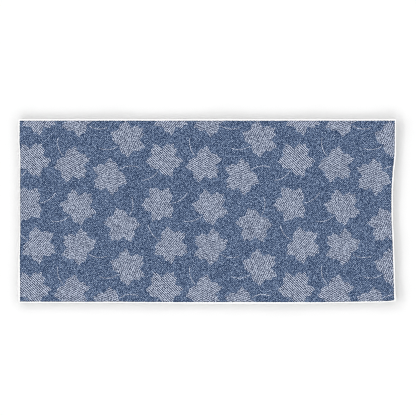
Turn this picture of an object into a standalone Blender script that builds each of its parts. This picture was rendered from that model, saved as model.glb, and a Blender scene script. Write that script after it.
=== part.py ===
# Beach towel: one printed cloth with a narrow hem sewn round it, laid flat with its print up.
# Metres, +Z up, length along X. The origin is under the towel's middle, on the surface it lies on.
import math
from collections import namedtuple

import bmesh
import bpy

# The towel as it lies, over all
TOWEL_LENGTH = 1.524
TOWEL_WIDTH = 0.745
PILE_THICKNESS = 0.003

# The hem is folded over twice and sewn down, so it is thicker than the pile
HEM_WIDTH = 0.0075
HEM_THICKNESS = 0.0041
CORNER_RADIUS = 0.006

# Spacing of the mesh lines past the hem: close by the edges, wide in the middle
EDGE_LINES = (0.025, 0.050, 0.080, 0.115)
MIDDLE_LINE_SPACING = 0.048

# How far in from an edge the cloth still follows that edge's uneven line
DRAW_IN_REACH = 0.115

# Section through the hem, from the outer fold inwards: heights are shares of the hem's thickness
HemPoint = namedtuple("HemPoint", "depth top underside")
HEM_SECTION = (
    HemPoint(0.0000, 0.50, 0.50),
    HemPoint(0.0004, 0.80, 0.20),
    HemPoint(0.0015, 0.97, 0.00),
    HemPoint(0.0032, 1.00, 0.00),
    HemPoint(0.0056, 0.97, 0.00),
    HemPoint(HEM_WIDTH, 0.80, 0.00),
    HemPoint(0.0095, PILE_THICKNESS / HEM_THICKNESS, 0.00),
)

# How far each edge is drawn in from the overall size. Along is X on the long edges, Y on the short ones
EdgePoint = namedtuple("EdgePoint", "along inset")
LEFT_EDGE = (
    EdgePoint(-0.3725, 0.0000),
    EdgePoint(-0.2000, 0.0000),
    EdgePoint(-0.1200, 0.0030),
    EdgePoint(-0.0500, 0.0048),
    EdgePoint(0.1500, 0.0050),
    EdgePoint(0.2250, 0.0036),
    EdgePoint(0.2800, 0.0000),
    EdgePoint(0.3725, 0.0000),
)
RIGHT_EDGE = (
    EdgePoint(-0.3725, 0.0020),
    EdgePoint(-0.3100, 0.0040),
    EdgePoint(-0.2400, 0.0050),
    EdgePoint(-0.1800, 0.0074),
    EdgePoint(-0.1100, 0.0092),
    EdgePoint(-0.0400, 0.0128),
    EdgePoint(0.0300, 0.0133),
    EdgePoint(0.0900, 0.0128),
    EdgePoint(0.1600, 0.0084),
    EdgePoint(0.2200, 0.0020),
    EdgePoint(0.2800, 0.0000),
    EdgePoint(0.3725, 0.0006),
)
FRONT_EDGE = (
    EdgePoint(-0.7620, 0.0040),
    EdgePoint(-0.5200, 0.0034),
    EdgePoint(-0.3200, 0.0030),
    EdgePoint(-0.0600, 0.0006),
    EdgePoint(0.1500, 0.0000),
    EdgePoint(0.4300, 0.0006),
    EdgePoint(0.5200, 0.0020),
    EdgePoint(0.6400, 0.0044),
    EdgePoint(0.7200, 0.0058),
    EdgePoint(0.7620, 0.0096),
)
BACK_EDGE = (
    EdgePoint(-0.7620, 0.0000),
    EdgePoint(0.7620, 0.0000),
)

CLOTH_COLOUR = (0.153, 0.199, 0.296, 1.0)
CLOTH_ROUGHNESS = 0.95


def clear_scene():
    for thing in list(bpy.data.objects):
        bpy.data.objects.remove(thing)


def eased(share):
    # Goes from 0 to 1 with level ends
    share = min(max(share, 0.0), 1.0)
    return share * share * (3.0 - 2.0 * share)


def edge_slope(edge, index):
    # Slope of an edge's line at one of its points, from the points beside it
    near = edge[max(index - 1, 0)]
    far = edge[min(index + 1, len(edge) - 1)]
    return (far.inset - near.inset) / (far.along - near.along)


def edge_inset(edge, along):
    # Reads an edge's inset on one smooth curve through its points
    along = min(max(along, edge[0].along), edge[-1].along)
    index = max(i for i in range(len(edge) - 1) if i == 0 or edge[i].along <= along)
    near, far = edge[index], edge[index + 1]
    span = far.along - near.along
    share = (along - near.along) / span
    rest = 1.0 - share
    bend_near = (near.inset + share * (2.0 * near.inset + span * edge_slope(edge, index))) * rest * rest
    bend_far = (far.inset + rest * (2.0 * far.inset - span * edge_slope(edge, index + 1))) * share * share
    return max(bend_near + bend_far, 0.0)


def edge_pull(depth):
    # Full at the hem, fading out where the cloth no longer follows the edge
    hem_end = HEM_SECTION[-1].depth
    return 1.0 - eased((depth - hem_end) / (DRAW_IN_REACH - hem_end))


def rounded_corner(side_depth, end_depth):
    # Turns the concentric squares in a corner into quarter circles
    across = CORNER_RADIUS - side_depth
    along = CORNER_RADIUS - end_depth
    if across <= 0.0 or along <= 0.0:
        return side_depth, end_depth
    shrink = max(across, along) / math.hypot(across, along)
    return CORNER_RADIUS - across * shrink, CORNER_RADIUS - along * shrink


def line_depths(size):
    # Depth of each mesh line from the low edge, over a towel side of this size
    near = [point.depth for point in HEM_SECTION] + list(EDGE_LINES)
    middle = size - 2.0 * near[-1]
    cells = round(middle / MIDDLE_LINE_SPACING)
    between = [near[-1] + middle * step / cells for step in range(1, cells)]
    far = [size - depth for depth in reversed(near)]
    return near + between + far


def hem_heights(depth):
    # Top and underside of the cloth at this depth from the outer fold
    for point in HEM_SECTION:
        if math.isclose(depth, point.depth, abs_tol=1e-7):
            return point.top * HEM_THICKNESS, point.underside * HEM_THICKNESS
    return PILE_THICKNESS, 0.0


def cloth_point(column, row):
    # Plan position of one mesh point, and its top and underside heights
    side_depth = min(column, TOWEL_LENGTH - column)
    end_depth = min(row, TOWEL_WIDTH - row)
    top, underside = hem_heights(min(side_depth, end_depth))
    turned_side, turned_end = rounded_corner(side_depth, end_depth)
    x = turned_side - TOWEL_LENGTH / 2.0
    y = turned_end - TOWEL_WIDTH / 2.0
    if column > TOWEL_LENGTH / 2.0:
        x = -x
    if row > TOWEL_WIDTH / 2.0:
        y = -y
    flat_x, flat_y = x, y
    x += edge_inset(LEFT_EDGE, flat_y) * edge_pull(column)
    x -= edge_inset(RIGHT_EDGE, flat_y) * edge_pull(TOWEL_LENGTH - column)
    y += edge_inset(FRONT_EDGE, flat_x) * edge_pull(row)
    y -= edge_inset(BACK_EDGE, flat_x) * edge_pull(TOWEL_WIDTH - row)
    return x, y, top, underside


def cloth_material():
    material = bpy.data.materials.new("printed_velour")
    material.use_nodes = True
    shader = material.node_tree.nodes["Principled BSDF"]
    shader.inputs["Base Color"].default_value = CLOTH_COLOUR
    shader.inputs["Roughness"].default_value = CLOTH_ROUGHNESS
    return material


def add_layer(mesh, fold, inner):
    # One face of the cloth: its own points inside the outer fold, and a quad in each cell
    layer = {**fold, **{place: mesh.verts.new(point) for place, point in inner.items()}}
    columns = max(place[0] for place in layer)
    rows = max(place[1] for place in layer)
    for column in range(columns):
        for row in range(rows):
            places = ((column, row), (column + 1, row), (column + 1, row + 1), (column, row + 1))
            mesh.faces.new([layer[place] for place in places])


def make_towel():
    columns = line_depths(TOWEL_LENGTH)
    rows = line_depths(TOWEL_WIDTH)
    mesh = bmesh.new()
    fold, top, underside = {}, {}, {}
    for i, column in enumerate(columns):
        for j, row in enumerate(rows):
            x, y, high, low = cloth_point(column, row)
            if i in (0, len(columns) - 1) or j in (0, len(rows) - 1):
                fold[i, j] = mesh.verts.new((x, y, high))
            else:
                top[i, j] = (x, y, high)
                underside[i, j] = (x, y, low)
    add_layer(mesh, fold, top)
    add_layer(mesh, fold, underside)
    bmesh.ops.recalc_face_normals(mesh, faces=mesh.faces)
    data = bpy.data.meshes.new("towel")
    mesh.to_mesh(data)
    mesh.free()
    data.shade_smooth()
    data.materials.append(cloth_material())
    towel = bpy.data.objects.new("towel", data)
    bpy.context.collection.objects.link(towel)
    return towel


clear_scene()
make_towel()
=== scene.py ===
# Beach towel laid flat: printed velour face, looped white back, narrow white hem sewn all round
import math

import bmesh
import bpy
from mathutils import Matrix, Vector, noise


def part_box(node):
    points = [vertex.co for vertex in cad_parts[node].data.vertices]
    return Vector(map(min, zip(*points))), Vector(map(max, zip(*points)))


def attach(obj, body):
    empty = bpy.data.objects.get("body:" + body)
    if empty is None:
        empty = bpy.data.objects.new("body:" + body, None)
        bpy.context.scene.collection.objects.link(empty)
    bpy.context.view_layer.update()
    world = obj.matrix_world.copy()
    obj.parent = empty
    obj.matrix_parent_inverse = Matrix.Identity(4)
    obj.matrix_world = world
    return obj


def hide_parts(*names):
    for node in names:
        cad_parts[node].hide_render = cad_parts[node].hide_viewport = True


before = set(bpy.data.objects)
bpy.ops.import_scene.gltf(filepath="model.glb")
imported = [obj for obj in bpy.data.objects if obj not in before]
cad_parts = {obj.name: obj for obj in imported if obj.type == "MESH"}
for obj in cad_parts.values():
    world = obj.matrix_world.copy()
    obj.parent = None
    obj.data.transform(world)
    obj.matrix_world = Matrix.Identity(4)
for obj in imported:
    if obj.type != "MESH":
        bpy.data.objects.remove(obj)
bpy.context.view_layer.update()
bpy.context.scene.view_settings.view_transform = "Standard"
bpy.context.scene.cycles.denoising_prefilter = "NONE"    # else the print's fine grain is smoothed away
bpy.context.scene.cycles.filter_width = 0.9              # the thin white border stays crisp
print("frame loaded")


def linear(hexColour):
    # sRGB hex to the linear colour that shaders take
    shares = [int(hexColour[place:place + 2], 16) / 255 for place in (1, 3, 5)]
    colour = [share / 12.92 if share <= 0.04045 else ((share + 0.055) / 1.055) ** 2.4 for share in shares]
    return colour + [1.0]


def addNode(tree, kind, settings=None, sockets=()):
    # One node with its settings and links. A socket takes a value, another socket or a node's first output
    node = tree.nodes.new(kind)
    for name, value in (settings or {}).items():
        setattr(node, name, value)
    for name, value in sockets.items() if isinstance(sockets, dict) else enumerate(sockets):
        if isinstance(value, bpy.types.Node):
            value = value.outputs[0]
        if isinstance(value, bpy.types.NodeSocket):
            tree.links.new(value, node.inputs[name])
        else:
            node.inputs[name].default_value = value
    return node


def newMaterial(name):
    material = bpy.data.materials.new(name)
    material.use_nodes = True
    tree = material.node_tree
    return material, tree, tree.nodes["Principled BSDF"]


# A Mix node has sockets for each kind of value. These are the numbers of the ones for colours
mixShare = 0
mixUnder = 6
mixOver = 7
mixResult = 2


def dropMesh(name, points, faces):
    # A mesh object at the origin, with its place in its mesh
    data = bpy.data.meshes.new(name)
    data.from_pydata(points, [], faces)
    data.update()
    piece = bpy.data.objects.new(name, data)
    bpy.context.scene.collection.objects.link(piece)
    return piece


# The cloth, in metres. Its edges are drawn in as on the solid, and its rim stands up a little in places
towelCloth = {
    "pileThickness": 0.003,
    "hemWidth": 0.0075,
    "hemThickness": 0.0041,
    "foldDepth": 0.0005,         # the hem's standing edge lies outside this
    "cornerRadius": 0.006,
    "drawInReach": 0.115,
    "cell": 0.0075,
    "puckerHeight": 0.00022,     # the seam gathers the hem a little
    "puckerLength": 0.034,
    "puckerReach": 0.030,
    "swellHeight": 0.00025,      # the laid cloth is never quite even
    "swellLength": 0.110,
    "swellSlice": 7.0,           # another slice of the noise than the puckers take
    # across the hem from its outer fold: depth, then top and underside as shares of the hem's thickness
    "hemSection": (
        (0.00000, 0.50, 0.50),
        (0.00012, 0.68, 0.32),
        (0.00040, 0.80, 0.20),
        (0.00090, 0.91, 0.08),
        (0.00150, 0.97, 0.01),
        (0.00240, 1.00, 0.00),
        (0.00360, 1.00, 0.00),
        (0.00460, 0.98, 0.01),
        (0.00510, 0.92, 0.06),
        (0.00560, 0.86, 0.10),
        (0.00610, 0.92, 0.06),
        (0.00670, 0.95, 0.02),
        (0.00715, 0.91, 0.05),
        (0.00750, 0.82, 0.10),
        (0.00790, 0.75, 0.08),
        (0.00850, 0.735, 0.02),
        (0.00950, 0.732, 0.00),
    ),
    "nextLines": (0.0125, 0.0165, 0.0220),
    # how far each edge is drawn in: place along it, then inset
    "leftEdge": ((-0.3725, 0.0), (-0.2, 0.0), (-0.12, 0.003), (-0.05, 0.0048), (0.15, 0.005),
                 (0.225, 0.0036), (0.28, 0.0), (0.3725, 0.0)),
    "rightEdge": ((-0.3725, 0.002), (-0.31, 0.004), (-0.24, 0.005), (-0.18, 0.0074), (-0.11, 0.0092),
                  (-0.04, 0.0128), (0.03, 0.0133), (0.09, 0.0128), (0.16, 0.0084), (0.22, 0.002),
                  (0.28, 0.0), (0.3725, 0.0006)),
    "frontEdge": ((-0.762, 0.004), (-0.52, 0.0034), (-0.32, 0.003), (-0.06, 0.0006), (0.15, 0.0),
                  (0.43, 0.0006), (0.52, 0.002), (0.64, 0.0044), (0.72, 0.0058), (0.762, 0.0096)),
    "backEdge": ((-0.762, 0.0), (0.762, 0.0)),
    # where the rim stands off the surface: x, y, reach, height
    "lifts": (
        (-0.775, 0.385, 0.110, 0.0012), (-0.400, 0.390, 0.115, 0.0009), (0.060, 0.395, 0.125, 0.0010),
        (0.430, 0.390, 0.110, 0.0008), (0.775, 0.385, 0.130, 0.0018), (0.775, 0.110, 0.110, 0.0008),
        (0.775, -0.150, 0.100, 0.0009), (0.775, -0.380, 0.130, 0.0018), (0.300, -0.395, 0.115, 0.0009),
        (-0.250, -0.395, 0.110, 0.0007), (-0.775, -0.385, 0.100, 0.0010), (-0.780, 0.020, 0.100, 0.0007),
    ),
    "rounding": 1e-7,            # a depth reckoned from the far edge is this little out
}

# The cloth's materials, in the order of their slots
clothSlots = ("printedVelour", "hemFold", "hemCotton", "terryBack")

# The printed field isn't quite square to the cloth: width of the white border along each side
printField = {
    "leftBorder": ((-0.3725, 0.0074), (-0.25, 0.0074), (-0.08, 0.0043), (0.10, 0.0029), (0.25, 0.0051),
                   (0.3725, 0.0063)),
    "rightBorder": ((-0.3725, 0.0068), (0.3725, 0.0068)),
    "frontBorder": ((-0.762, 0.0054), (-0.55, 0.0056), (-0.20, 0.0063), (0.17, 0.0080), (0.50, 0.0063),
                    (0.762, 0.0060)),
    "backBorder": ((-0.762, 0.0063), (0.762, 0.0063)),
    "softness": 0.0010,
    "roughness": 0.0012,
}

solidLow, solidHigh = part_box("towel")
towelLength = solidHigh.x - solidLow.x
towelWidth = solidHigh.y - solidLow.y


def eased(share):
    share = min(max(share, 0.0), 1.0)
    return share * share * (3.0 - 2.0 * share)


def insetAt(edge, along):
    # The edge's inset on one smooth curve through its points
    along = min(max(along, edge[0][0]), edge[-1][0])
    index = max(i for i in range(len(edge) - 1) if i == 0 or edge[i][0] <= along)
    slopes = []
    for place in (index, index + 1):
        before, after = edge[max(place - 1, 0)], edge[min(place + 1, len(edge) - 1)]
        slopes.append((after[1] - before[1]) / (after[0] - before[0]))
    (nearPlace, nearInset), (farPlace, farInset) = edge[index], edge[index + 1]
    span = farPlace - nearPlace
    share = (along - nearPlace) / span
    rest = 1.0 - share
    bendNear = (nearInset + share * (2.0 * nearInset + span * slopes[0])) * rest * rest
    bendFar = (farInset + rest * (2.0 * farInset - span * slopes[1])) * share * share
    return max(bendNear + bendFar, 0.0)


def sectionAt(depth):
    # Top and underside of the cloth at this depth from the outer fold
    section = towelCloth["hemSection"]
    thickness = towelCloth["hemThickness"]
    for near, far in zip(section, section[1:]):
        if depth <= far[0] + towelCloth["rounding"]:
            share = (depth - near[0]) / (far[0] - near[0])
            return tuple(thickness * (near[i] + (far[i] - near[i]) * share) for i in (1, 2))
    return towelCloth["pileThickness"], 0.0


def riseAt(x, y, depth):
    # The rim's lifts, the hem's puckers and the laid cloth's slow swell. Only the lifts move the underside
    lift = 0.0
    for liftX, liftY, reach, height in towelCloth["lifts"]:
        distance = math.hypot(x - liftX, y - liftY) / reach
        if distance < 1.0:
            lift += height * (1.0 - distance * distance) ** 2
    pucker = noise.noise(Vector((x, y, 0.0)) / towelCloth["puckerLength"]) * towelCloth["puckerHeight"]
    pucker *= 1.0 - eased(depth / towelCloth["puckerReach"])
    swellPlace = Vector((x, y, towelCloth["swellSlice"])) / towelCloth["swellLength"]
    swell = noise.noise(swellPlace) * towelCloth["swellHeight"]
    return lift, pucker + swell


def clothPoint(column, row):
    # Plan position of a point of the flat cut cloth as it lies, then its top and underside
    sideDepth = min(column, towelLength - column)
    endDepth = min(row, towelWidth - row)
    depth = min(sideDepth, endDepth)
    top, underside = sectionAt(depth)
    radius = towelCloth["cornerRadius"]
    across, along = radius - sideDepth, radius - endDepth
    if across > 0.0 and along > 0.0:
        shrink = max(across, along) / math.hypot(across, along)
        sideDepth, endDepth = radius - across * shrink, radius - along * shrink
    flatX = math.copysign(towelLength / 2.0 - sideDepth, column - towelLength / 2.0)
    flatY = math.copysign(towelWidth / 2.0 - endDepth, row - towelWidth / 2.0)
    hemEnd = towelCloth["hemSection"][-1][0]
    x, y = flatX, flatY
    for edge, distance, sign in (("leftEdge", column, 1.0), ("rightEdge", towelLength - column, -1.0)):
        pull = 1.0 - eased((distance - hemEnd) / (towelCloth["drawInReach"] - hemEnd))
        x += sign * pull * insetAt(towelCloth[edge], flatY)
    for edge, distance, sign in (("frontEdge", row, 1.0), ("backEdge", towelWidth - row, -1.0)):
        pull = 1.0 - eased((distance - hemEnd) / (towelCloth["drawInReach"] - hemEnd))
        y += sign * pull * insetAt(towelCloth[edge], flatX)
    lift, ripple = riseAt(x, y, depth)
    return x, y, top + lift + ripple, underside + lift


def printDepthAt(column, row):
    # How far inside the printed field a point lies. Less than nothing is on the white border
    x, y = column - towelLength / 2.0, row - towelWidth / 2.0
    return min(column - insetAt(printField["leftBorder"], y),
               towelLength - column - insetAt(printField["rightBorder"], y),
               row - insetAt(printField["frontBorder"], x),
               towelWidth - row - insetAt(printField["backBorder"], x))


def clothLines(size):
    # Mesh lines across the cloth: fine over the hem, then one each cell
    near = [row[0] for row in towelCloth["hemSection"]] + list(towelCloth["nextLines"])
    middle = size - 2.0 * near[-1]
    cells = round(middle / towelCloth["cell"])
    between = [near[-1] + middle * step / cells for step in range(1, cells)]
    return near + between + [size - depth for depth in reversed(near)]


def makeTowelCloth():
    columns, rows = clothLines(towelLength), clothLines(towelWidth)
    lastColumn, lastRow = len(columns) - 1, len(rows) - 1
    points, depths, topIndex, undersideIndex = [], [], {}, {}
    for i, column in enumerate(columns):
        for j, row in enumerate(rows):
            x, y, top, underside = clothPoint(column, row)
            onFold = i in (0, lastColumn) or j in (0, lastRow)
            depth = printDepthAt(column, row)
            topIndex[i, j] = len(points)
            points.append((x, y, underside + (top - underside) / 2.0 if onFold else top))
            depths.append(depth)
            undersideIndex[i, j] = topIndex[i, j]
            if not onFold:
                undersideIndex[i, j] = len(points)
                points.append((x, y, underside))
                depths.append(depth)
    faces, slots = [], []
    for i in range(lastColumn):
        for j in range(lastRow):
            corners = ((i, j), (i + 1, j), (i + 1, j + 1), (i, j + 1))
            middle = (columns[i] + columns[i + 1]) / 2.0, (rows[j] + rows[j + 1]) / 2.0
            depth = min(*middle, towelLength - middle[0], towelWidth - middle[1])
            faces.append([topIndex[corner] for corner in corners])
            faces.append([undersideIndex[corner] for corner in reversed(corners)])
            onEdge = depth < towelCloth["foldDepth"]
            overHem = depth < towelCloth["hemWidth"]
            slots.append(clothSlots.index("hemFold" if onEdge else "printedVelour"))
            slots.append(clothSlots.index("hemFold" if onEdge else "hemCotton" if overHem else "terryBack"))
    cloth = dropMesh("towel_cloth", points, faces)
    cloth.data.polygons.foreach_set("material_index", slots)
    cloth.data.attributes.new("printDepth", "FLOAT", "POINT").data.foreach_set("value", depths)
    cloth.data.shade_smooth()
    return cloth


# The print, in metres: one repeat of nine tossed leaves with their stems on a denim ground
leafPrint = {
    "repeatAcross": 0.5318,
    "repeatDown": 0.5177,
    "cornerX": -0.7464,          # the top left corner of one repeat
    "cornerY": 0.3565,
    "leafReach": 0.079,
    "edgeSoftness": 0.0016,
    # each leaf, to 5 mm and 5 degrees: place across and down the repeat, turn of its tip, which way up,
    # then the slant and the strength of its hatching
    "leaves": (
        (0.425, 0.065, 35, 1, -15, 1.0),
        (0.040, 0.150, 60, 1, -15, 1.75),
        (0.200, 0.165, -45, 1, -15, 1.25),
        (0.355, 0.215, 215, 1, 37, 1.0),
        (0.025, 0.325, 185, -1, 37, 1.25),
        (0.225, 0.340, 45, 1, -15, 1.0),
        (0.405, 0.410, 235, -1, 37, 0.75),
        (0.065, 0.490, -25, 1, -15, 1.25),
        (0.230, 0.500, 145, -1, 37, 0.75),
    ),
    # half of an ordinary maple leaf, in its usual form of five toothed lobes: degrees from its tip, and
    # reach as a share of the leaf's
    "halfLeaf": (
        (0, 1.00), (10, 0.80), (18, 0.88), (26, 0.75), (38, 0.58),
        (50, 0.78), (62, 1.00), (70, 0.82), (80, 0.86), (98, 0.65),
        (112, 0.76), (124, 0.94), (136, 0.76), (146, 0.78), (164, 0.62), (180, 0.50),
    ),
    # the stem is part of a ring, its middle given with the leaf's tip along x
    "stemMiddle": (-0.0470, 0.0780, 0.0),
    "stemRadius": 0.0790,
    "stemWidth": 0.0041,
    "stemFade": (0.7, 0.3),      # it ends and is full at these shares of its width from its middle line
    "stemStart": -90.0,
    "stemEnd": -147.0,
    "hatchSpacing": 0.00697,
    "hatchContrast": 0.197,
    # the twill of a denim: even lines one way, and flecks both ways. A real one is finer: this is as coarse
    # as it needs to be to show
    "lineSpacing": 0.00617,
    "lineSlant": -45.5,
    "fleckSlants": (45.0, -45.0),
    "fleckWidth": 0.00421,
    "fleckLength": 0.00254,
    "fleckStagger": 0.37,
    "fleckLean": 0.827,          # at 1 flecks are as often darker as lighter, and under it more often lighter
    # each part's usual tone, what flecks and lines add to it, how far its slow changes are evened out, and
    # its colours at tones of nothing, midTone and 1
    "ground": {"tone": 0.223, "flecks": 0.414, "lines": 0.068, "evenness": 0.089,
               "midTone": 0.4, "colours": ("#142b4c", "#6b7fa0", "#d7e8ff")},
    "leaf": {"tone": 0.406, "flecks": 0.664, "lines": 0.065, "evenness": 0.200,
             "midTone": 0.5, "colours": ("#0f2446", "#8f99af", "#e1eafc")},
    "stem": {"tone": 0.450, "flecks": 0.740, "lines": 0.065, "evenness": 0.200,
             "midTone": 0.5, "colours": ("#0f2446", "#8f99af", "#e1eafc")},
    "cotton": "#ffffff",
    "paintedShadeWidth": 0.005,        # painted shade along the hem, where the pile is pressed over into a furrow
    "paintedShadeColour": "#c8c8c8",
}


def addGroup(name, inputs, outputs):
    # An empty node group with its sockets
    tree = bpy.data.node_groups.new(name, "ShaderNodeTree")
    for socket, kind in inputs:
        tree.interface.new_socket(name=socket, in_out="INPUT", socket_type=kind)
    for socket in outputs:
        tree.interface.new_socket(name=socket, in_out="OUTPUT", socket_type="NodeSocketFloat")
    return tree, addNode(tree, "NodeGroupInput").outputs


def makeTwillWay():
    # One way of the twill: rows of light flecks at a right angle to Slant, each fleck of its own strength
    tree, given = addGroup("twillWay", (("Place", "NodeSocketVector"), ("Slant", "NodeSocketFloat")),
                           ("Flecks", "Strength"))
    turned = addNode(tree, "ShaderNodeVectorRotate", {"rotation_type": "Z_AXIS", "invert": True},
                     {"Vector": given["Place"], "Angle": given["Slant"]})
    cells = addNode(tree, "ShaderNodeVectorMath", {"operation": "DIVIDE"},
                    (turned, (leafPrint["fleckWidth"], leafPrint["fleckLength"], 1.0)))
    cell = addNode(tree, "ShaderNodeSeparateXYZ", None, (cells,))
    row = addNode(tree, "ShaderNodeMath", {"operation": "FLOOR"}, (cell,))
    along = addNode(tree, "ShaderNodeMath", {"operation": "MULTIPLY_ADD"},
                    (row, leafPrint["fleckStagger"], cell.outputs["Y"]))
    step = addNode(tree, "ShaderNodeMath", {"operation": "FLOOR"}, (along,))
    cellId = addNode(tree, "ShaderNodeCombineXYZ", None, (row, step, given["Slant"]))
    chance = addNode(tree, "ShaderNodeTexWhiteNoise", {"noise_dimensions": "3D"}, (cellId,))
    strength = addNode(tree, "ShaderNodeMath", {"operation": "MULTIPLY_ADD"},
                       (chance, 2.0, -leafPrint["fleckLean"]))
    turns = addNode(tree, "ShaderNodeMath", {"operation": "MULTIPLY"}, (cell, 2.0 * math.pi))
    wave = addNode(tree, "ShaderNodeMath", {"operation": "COSINE"}, (turns,))
    ridge = addNode(tree, "ShaderNodeMath", {"operation": "MULTIPLY_ADD"}, (wave, -0.5, 0.5))
    flecks = addNode(tree, "ShaderNodeMath", {"operation": "MULTIPLY"}, (ridge, strength))
    addNode(tree, "NodeGroupOutput", None, (flecks, strength))
    return tree


def addOutline(tree, turnShare):
    # The leaf's reach in metres by its turn, on a curve node that holds it as a share of the longest
    half = leafPrint["halfLeaf"]
    rows = [(-degrees, reach) for degrees, reach in half[:0:-1]] + list(half)
    largest = max(reach for degrees, reach in rows)
    outline = addNode(tree, "ShaderNodeFloatCurve", None, {"Value": turnShare})
    points = outline.mapping.curves[0].points
    for degrees, reach in rows[1:-1]:
        points.new(degrees / 360.0 + 0.5, reach / largest)
    for point, (degrees, reach) in zip(points, rows):
        point.location = (degrees / 360.0 + 0.5, reach / largest)
        point.handle_type = "VECTOR"
    outline.mapping.update()
    return addNode(tree, "ShaderNodeMath", {"operation": "MULTIPLY"},
                   (outline, largest * leafPrint["leafReach"]))


def makeLeafMotif():
    # One leaf and its stem as a node group, so that the repeat places it nine times
    tree, given = addGroup("leafMotif", (("Offset", "NodeSocketVector"), ("Turn", "NodeSocketFloat"),
                                         ("Side", "NodeSocketVector"), ("Slant", "NodeSocketFloat"),
                                         ("Strength", "NodeSocketFloat")), ("Leaf", "Hatching", "Stem"))
    turned = addNode(tree, "ShaderNodeVectorRotate", {"rotation_type": "Z_AXIS", "invert": True},
                     {"Vector": given["Offset"], "Angle": given["Turn"]})
    sided = addNode(tree, "ShaderNodeVectorMath", {"operation": "MULTIPLY"}, (turned, given["Side"]))
    place = addNode(tree, "ShaderNodeSeparateXYZ", None, (sided,))
    reach = addNode(tree, "ShaderNodeVectorMath", {"operation": "LENGTH"}, (sided,))
    angle = addNode(tree, "ShaderNodeMath", {"operation": "ARCTAN2"},
                    (place.outputs["Y"], place.outputs["X"]))
    turnShare = addNode(tree, "ShaderNodeMath", {"operation": "MULTIPLY_ADD"}, (angle, 0.5 / math.pi, 0.5))
    inside = addNode(tree, "ShaderNodeMath", {"operation": "SUBTRACT"},
                     (addOutline(tree, turnShare), reach.outputs["Value"]))
    softness = leafPrint["edgeSoftness"]
    leaf = addNode(tree, "ShaderNodeMapRange", None, (inside, -softness / 2.0, softness / 2.0))
    across = addNode(tree, "ShaderNodeVectorRotate", {"rotation_type": "Z_AXIS", "invert": True},
                     {"Vector": sided, "Angle": given["Slant"]})
    line = addNode(tree, "ShaderNodeSeparateXYZ", None, (across,))
    turns = addNode(tree, "ShaderNodeMath", {"operation": "MULTIPLY"},
                    (line, 2.0 * math.pi / leafPrint["hatchSpacing"]))
    wave = addNode(tree, "ShaderNodeMath", {"operation": "SINE"}, (turns,))
    strong = addNode(tree, "ShaderNodeMath", {"operation": "MULTIPLY"}, (wave, given["Strength"]))
    hatching = addNode(tree, "ShaderNodeMath", {"operation": "MULTIPLY"}, (strong, leaf))
    fromMiddle = addNode(tree, "ShaderNodeVectorMath", {"operation": "SUBTRACT"},
                         (sided, leafPrint["stemMiddle"]))
    ring = addNode(tree, "ShaderNodeVectorMath", {"operation": "LENGTH"}, (fromMiddle,))
    offRing = addNode(tree, "ShaderNodeMath", {"operation": "SUBTRACT"},
                      (ring.outputs["Value"], leafPrint["stemRadius"]))
    offLine = addNode(tree, "ShaderNodeMath", {"operation": "ABSOLUTE"}, (offRing,))
    fade = [leafPrint["stemWidth"] * share for share in leafPrint["stemFade"]]
    band = addNode(tree, "ShaderNodeMapRange", None, (offLine, *fade))
    spot = addNode(tree, "ShaderNodeSeparateXYZ", None, (fromMiddle,))
    bearing = addNode(tree, "ShaderNodeMath", {"operation": "ARCTAN2"},
                      (spot.outputs["Y"], spot.outputs["X"]))
    along = addNode(tree, "ShaderNodeMath", {"operation": "COMPARE"},
                    (bearing, math.radians((leafPrint["stemStart"] + leafPrint["stemEnd"]) / 2.0),
                     math.radians((leafPrint["stemStart"] - leafPrint["stemEnd"]) / 2.0)))
    stem = addNode(tree, "ShaderNodeMath", {"operation": "MULTIPLY"}, (band, along))
    addNode(tree, "NodeGroupOutput", None, (leaf, hatching, stem))
    return tree


def addLeaves(tree, flat):
    # The nine leaves of the repeat: where a leaf lies, its hatching, and where a stem lies
    motif = makeLeafMotif()
    # its height is only there because a wrap needs one
    repeat = Vector((leafPrint["repeatAcross"], leafPrint["repeatDown"], 2.0))
    found = {}
    for across, down, turn, side, slant, strength in leafPrint["leaves"]:
        middle = (leafPrint["cornerX"] + across, leafPrint["cornerY"] - down, 0.0)
        away = addNode(tree, "ShaderNodeVectorMath", {"operation": "SUBTRACT"}, (flat, middle))
        offset = addNode(tree, "ShaderNodeVectorMath", {"operation": "WRAP"},
                         (away, repeat / 2.0, -repeat / 2.0))
        leaf = addNode(tree, "ShaderNodeGroup", {"node_tree": motif},
                       (offset, math.radians(turn), (1.0, side, 0.0), math.radians(slant), strength))
        for name, joining in (("Leaf", "MAXIMUM"), ("Hatching", "ADD"), ("Stem", "MAXIMUM")):
            found[name] = addNode(tree, "ShaderNodeMath", {"operation": joining},
                                  (found.get(name, 0.0), leaf.outputs[name]))
    return found


def addTwill(tree, flat):
    # The flecks of both ways laid over each other, their strength there, and the even lines. All three
    # swing about nothing
    way = makeTwillWay()
    ways = [addNode(tree, "ShaderNodeGroup", {"node_tree": way}, (flat, math.radians(slant)))
            for slant in leafPrint["fleckSlants"]]
    usual = 1.0 - leafPrint["fleckLean"]                 # the mean strength of a fleck
    twill = []
    for name, middle in (("Flecks", usual), ("Strength", 2.0 * usual)):
        both = addNode(tree, "ShaderNodeMath", {"operation": "ADD"}, [one.outputs[name] for one in ways])
        twill.append(addNode(tree, "ShaderNodeMath", {"operation": "SUBTRACT"}, (both, middle)))
    slant = math.radians(leafPrint["lineSlant"])
    perMetre = Vector((math.cos(slant), math.sin(slant), 0.0)) * 2.0 * math.pi / leafPrint["lineSpacing"]
    turns = addNode(tree, "ShaderNodeVectorMath", {"operation": "DOT_PRODUCT"}, (flat, perMetre))
    twill.append(addNode(tree, "ShaderNodeMath", {"operation": "COSINE"}, (turns.outputs["Value"],)))
    return twill


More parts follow.
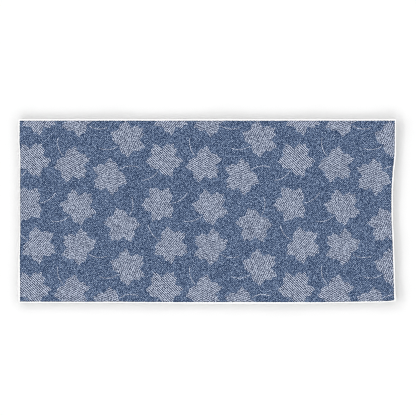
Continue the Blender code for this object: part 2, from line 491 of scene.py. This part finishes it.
def addDyed(tree, twill, dye, hatching=None):
    # The colour of one part of the print
    flecks, strength, lines = twill
    even = addNode(tree, "ShaderNodeMath", {"operation": "MULTIPLY_ADD"},
                   (strength, -dye["evenness"], flecks))
    tone = addNode(tree, "ShaderNodeMath", {"operation": "MULTIPLY_ADD"}, (even, dye["flecks"], dye["tone"]))
    tone = addNode(tree, "ShaderNodeMath", {"operation": "MULTIPLY_ADD"}, (lines, dye["lines"], tone))
    if hatching:
        tone = addNode(tree, "ShaderNodeMath", {"operation": "MULTIPLY_ADD"},
                       (hatching, leafPrint["hatchContrast"], tone))
    ramp = addNode(tree, "ShaderNodeValToRGB", None, (tone,))
    stops = ramp.color_ramp.elements
    stops.new(dye["midTone"])
    for stop, colour in zip(stops, dye["colours"]):
        stop.color = linear(colour)
    return ramp.outputs["Color"]


# The finish of the cotton on both faces, sizes in metres
cottonFinish = {
    "roughness": 0.95,
    "specular": 0.2,
    "pileSheen": 0.1,
    "tuftSize": 0.0016,
    "tuftDetail": 2.0,
    "tuftHeight": 0.0004,
    "tuftBump": 0.3,
    "loopUnevenness": 0.6,
    "loopBump": 0.6,
}


def makePrintedVelour():
    # Cut-pile cotton velour, dye printed: matt and soft, a little light in the tips of its pile
    material, tree, shader = newMaterial("printedVelour")
    coords = addNode(tree, "ShaderNodeTexCoord")
    flat = addNode(tree, "ShaderNodeVectorMath", {"operation": "MULTIPLY"},
                   (coords.outputs["Object"], (1.0, 1.0, 0.0)))
    twill = addTwill(tree, flat)
    found = addLeaves(tree, flat)
    colour = addDyed(tree, twill, leafPrint["ground"])
    leaf = addDyed(tree, twill, leafPrint["leaf"], found["Hatching"])
    stem = addDyed(tree, twill, leafPrint["stem"])
    # the print stops short of the edge, and its own edge is a little rough
    field = addNode(tree, "ShaderNodeAttribute", {"attribute_name": "printDepth"})
    rough = addNode(tree, "ShaderNodeMath", {"operation": "MULTIPLY_ADD"},
                    (twill[0], printField["roughness"], field.outputs["Fac"]))
    softness = printField["softness"]
    bare = addNode(tree, "ShaderNodeMapRange", None, (rough, softness / 2.0, -softness / 2.0))
    # painted shade: the print is darkened in a band beside the white border, as shade in the hem's furrow
    paintedShade = addNode(tree, "ShaderNodeMapRange", None, (rough, leafPrint["paintedShadeWidth"], 0.0))
    for share, blend, over in ((found["Leaf"], "MIX", leaf), (found["Stem"], "MIX", stem),
                               (paintedShade, "MULTIPLY", linear(leafPrint["paintedShadeColour"])),
                               (bare, "MIX", linear(leafPrint["cotton"]))):
        layer = addNode(tree, "ShaderNodeMix", {"data_type": "RGBA", "blend_type": blend},
                        {mixShare: share, mixUnder: colour, mixOver: over})
        colour = layer.outputs[mixResult]
    tree.links.new(colour, shader.inputs["Base Color"])
    tuft = addNode(tree, "ShaderNodeTexNoise", {"noise_dimensions": "2D"},
                   {"Vector": flat, "Scale": 1.0 / cottonFinish["tuftSize"],
                    "Detail": cottonFinish["tuftDetail"]})
    bump = addNode(tree, "ShaderNodeBump", None,
                   {"Strength": cottonFinish["tuftBump"], "Distance": cottonFinish["tuftHeight"],
                    "Height": tuft})
    tree.links.new(bump.outputs[0], shader.inputs["Normal"])
    shader.inputs["Roughness"].default_value = cottonFinish["roughness"]
    shader.inputs["Sheen Weight"].default_value = cottonFinish["pileSheen"]
    shader.inputs["Specular IOR Level"].default_value = cottonFinish["specular"]
    return material


# Unprinted white cotton, by its place on the towel: colour, shade between the loops, their spacing and depth
whiteCotton = {
    # the loops part where the cloth turns over and shade each other, so the standing edge looks greyer
    "hemFold": ("#c6c6c3", "#9b9b98", 0.0011, 0.0002),
    "hemCotton": ("#fbfbfa", "#d9d9d6", 0.0011, 0.0002),
    "terryBack": ("#f5f5f2", "#d9d9d6", 0.0026, 0.0008),
}


def makeWhiteCotton(name):
    # Looped cotton terry: matt, with soft round shadows between its loops
    colour, shadeColour, spacing, depth = whiteCotton[name]
    material, tree, shader = newMaterial(name)
    coords = addNode(tree, "ShaderNodeTexCoord")
    loops = addNode(tree, "ShaderNodeTexVoronoi", {"voronoi_dimensions": "3D"},
                    {"Vector": coords.outputs["Object"], "Scale": 1.0 / spacing,
                     "Randomness": cottonFinish["loopUnevenness"]})
    shade = addNode(tree, "ShaderNodeMix", {"data_type": "RGBA"},
                    {mixShare: loops, mixUnder: linear(colour), mixOver: linear(shadeColour)})
    tree.links.new(shade.outputs[mixResult], shader.inputs["Base Color"])
    bump = addNode(tree, "ShaderNodeBump", {"invert": True},
                   {"Strength": cottonFinish["loopBump"], "Distance": depth, "Height": loops})
    tree.links.new(bump.outputs[0], shader.inputs["Normal"])
    shader.inputs["Roughness"].default_value = cottonFinish["roughness"]
    shader.inputs["Specular IOR Level"].default_value = cottonFinish["specular"]
    return material


cloth = makeTowelCloth()
cloth.data.materials.append(makePrintedVelour())
for name in whiteCotton:
    cloth.data.materials.append(makeWhiteCotton(name))
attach(cloth, "root")
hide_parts("towel")
print("cloth made")

# The hem's lockstitch, in metres
hemSeam = {
    "seamDepth": 0.0056,
    "stitchPitch": 0.0032,
    "stitchLength": 0.0026,
    "threadRadius": 0.00023,
    "sink": 0.00008,             # how far the thread's middle lies under the cloth's surface
    "sides": 5,                  # of the thread
    # along a stitch: share of its length, share of its radius, share of its height over the cloth
    "rings": ((0.06, 0.55, -0.8), (0.25, 1.0, 0.3), (0.75, 1.0, 0.3), (0.94, 0.55, -0.8)),
    "colour": "#ffffff",
    "twistColour": "#dcdcdb",
    "twistSize": 0.0006,
    "roughness": 0.6,
}


def seamPlaces():
    # Each stitch's two ends on the flat cloth, all the way round the hem
    depth, pitch = hemSeam["seamDepth"], hemSeam["stitchPitch"]
    corners = ((depth, depth), (towelLength - depth, depth),
               (towelLength - depth, towelWidth - depth), (depth, towelWidth - depth))
    for start, end in zip(corners, corners[1:] + corners[:1]):
        start, end = Vector(start), Vector(end)
        way = (end - start).normalized()
        count = round((end - start).length / pitch)
        for step in range(count):
            middle = start + (end - start) * ((step + 0.5) / count)
            yield middle - way * hemSeam["stitchLength"] / 2.0, middle + way * hemSeam["stitchLength"] / 2.0


def makeHemSeam():
    points, faces = [], []
    sides, radius, rings = hemSeam["sides"], hemSeam["threadRadius"], hemSeam["rings"]
    for startPlace, endPlace in seamPlaces():
        start, end = clothPoint(*startPlace), clothPoint(*endPlace)
        # the stitch on the cloth's top, then the one on its underside
        for level, way in ((2, 1.0), (3, -1.0)):
            first = Vector((start[0], start[1], start[level] - way * hemSeam["sink"]))
            last = Vector((end[0], end[1], end[level] - way * hemSeam["sink"]))
            along = (last - first).normalized()
            side = along.cross(Vector((0.0, 0.0, way))).normalized()
            up = side.cross(along)
            base = len(points)
            for share, thick, height in rings:
                middle = first.lerp(last, share) + up * radius * height
                for turn in range(sides):
                    angle = 2.0 * math.pi * turn / sides
                    points.append(middle + (side * math.cos(angle) + up * math.sin(angle)) * radius * thick)
            for ring in range(len(rings) - 1):
                for turn in range(sides):
                    corners = [base + ring * sides + turn, base + ring * sides + (turn + 1) % sides]
                    faces.append(corners + [corners[1] + sides, corners[0] + sides])
            faces.append([base + turn for turn in reversed(range(sides))])
            faces.append([base + (len(rings) - 1) * sides + turn for turn in range(sides)])
    seam = dropMesh("hem_seam", points, faces)
    shape = bmesh.new()
    shape.from_mesh(seam.data)
    bmesh.ops.recalc_face_normals(shape, faces=shape.faces)
    shape.to_mesh(seam.data)
    shape.free()
    seam.data.shade_smooth()
    return seam


def makeSeamThread():
    # Spun white sewing thread: a faint sheen and a fine twist
    material, tree, shader = newMaterial("seamThread")
    coords = addNode(tree, "ShaderNodeTexCoord")
    twist = addNode(tree, "ShaderNodeTexNoise", None,
                    {"Vector": coords.outputs["Object"], "Scale": 1.0 / hemSeam["twistSize"]})
    shade = addNode(tree, "ShaderNodeMix", {"data_type": "RGBA"},
                    {mixShare: twist, mixUnder: linear(hemSeam["colour"]),
                     mixOver: linear(hemSeam["twistColour"])})
    tree.links.new(shade.outputs[mixResult], shader.inputs["Base Color"])
    shader.inputs["Roughness"].default_value = hemSeam["roughness"]
    return material


seam = makeHemSeam()
seam.data.materials.append(makeSeamThread())
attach(seam, "root")
print("hem sewn")

# Plain pale floor and soft studio light. Compass turns run anticlockwise from the picture's right
studio = {
    "floorSize": 60.0,
    "floorGap": 0.0002,
    "floorColour": "#fcfcfc",
    "floorRoughness": 0.9,
    "floorSpecular": 0.1,
    "skyColour": "#ffffff",
    "skyStrength": 0.345,
    "lampDistance": 3.0,
    "lampWidth": 30.0,           # degrees of sky that the lamp over the towel fills
    "lampShare": 0.67,           # of the light on the towel
    # two rings of soft lamps light the floor: their height, width, share of its light, and how much stronger
    # they are on one side. The low one draws the wide shadow, the other darkens it close by the hem
    "rings": ((6.0, 7.6, 0.57, 0.54), (25.0, 18.0, 0.13, 0.0)),
    "ringLamps": 12,
    "ringTurn": 195.0,           # where they are strongest
    "frameAcross": 1.6759,       # what the picture takes in at the towel
    "aimX": 0.0029,
    "aimY": 0.0141,
    "lens": 100.0,
    "sensor": 36.0,
}


def addLamp(name, pieces, turn, height, width, share):
    # A soft lamp far off that lights these pieces alone and gives this share of the light on them
    turn, height = math.radians(turn), math.radians(height)
    way = Vector((math.cos(turn) * math.cos(height), math.sin(turn) * math.cos(height), math.sin(height)))
    bpy.ops.object.light_add(type="SUN", location=way * studio["lampDistance"],
                             rotation=way.to_track_quat("Z", "Y").to_euler())
    lamp = bpy.context.active_object
    lamp.name = name
    lamp.data.angle = math.radians(width)
    lamp.data.energy = share * math.pi / math.sin(height)
    lit = bpy.data.collections.new(name + "Lit")
    for piece in pieces:
        lit.objects.link(piece)
    lamp.light_linking.receiver_collection = lit


def makeStudio():
    bpy.ops.object.select_all(action="DESELECT")
    bpy.ops.mesh.primitive_plane_add(size=studio["floorSize"], location=(0.0, 0.0, -studio["floorGap"]))
    floor = bpy.context.active_object
    floor.name = "floor"
    paper, _, shader = newMaterial("palePaper")
    shader.inputs["Base Color"].default_value = linear(studio["floorColour"])
    shader.inputs["Roughness"].default_value = studio["floorRoughness"]
    shader.inputs["Specular IOR Level"].default_value = studio["floorSpecular"]
    floor.data.materials.append(paper)
    world = bpy.data.worlds.new("studioSky")
    world.use_nodes = True
    sky = world.node_tree.nodes["Background"]
    sky.inputs["Color"].default_value = linear(studio["skyColour"])
    sky.inputs["Strength"].default_value = studio["skyStrength"]
    bpy.context.scene.world = world
    # one lamp straight overhead for the towel, then the rings for the floor
    addLamp("towelLamp", (cloth, seam), 0.0, 90.0, studio["lampWidth"], studio["lampShare"])
    count = studio["ringLamps"]
    for ring, (height, width, share, lean) in enumerate(studio["rings"], 1):
        for lamp in range(count):
            turn = 360.0 * lamp / count
            strength = 1.0 + lean * math.cos(math.radians(turn - studio["ringTurn"]))
            addLamp(f"ring{ring}Lamp{lamp + 1}", (floor,), turn, height, width, share * strength / count)
    distance = studio["frameAcross"] * studio["lens"] / studio["sensor"]
    cameraHeight = distance + towelCloth["pileThickness"]
    bpy.ops.object.camera_add(location=(studio["aimX"], studio["aimY"], cameraHeight),
                              rotation=(0.0, 0.0, 0.0))
    camera = bpy.context.active_object
    camera.name = "camera"
    camera.data.lens = studio["lens"]
    camera.data.sensor_width = studio["sensor"]
    bpy.context.scene.camera = camera


makeStudio()
print("studio lit")
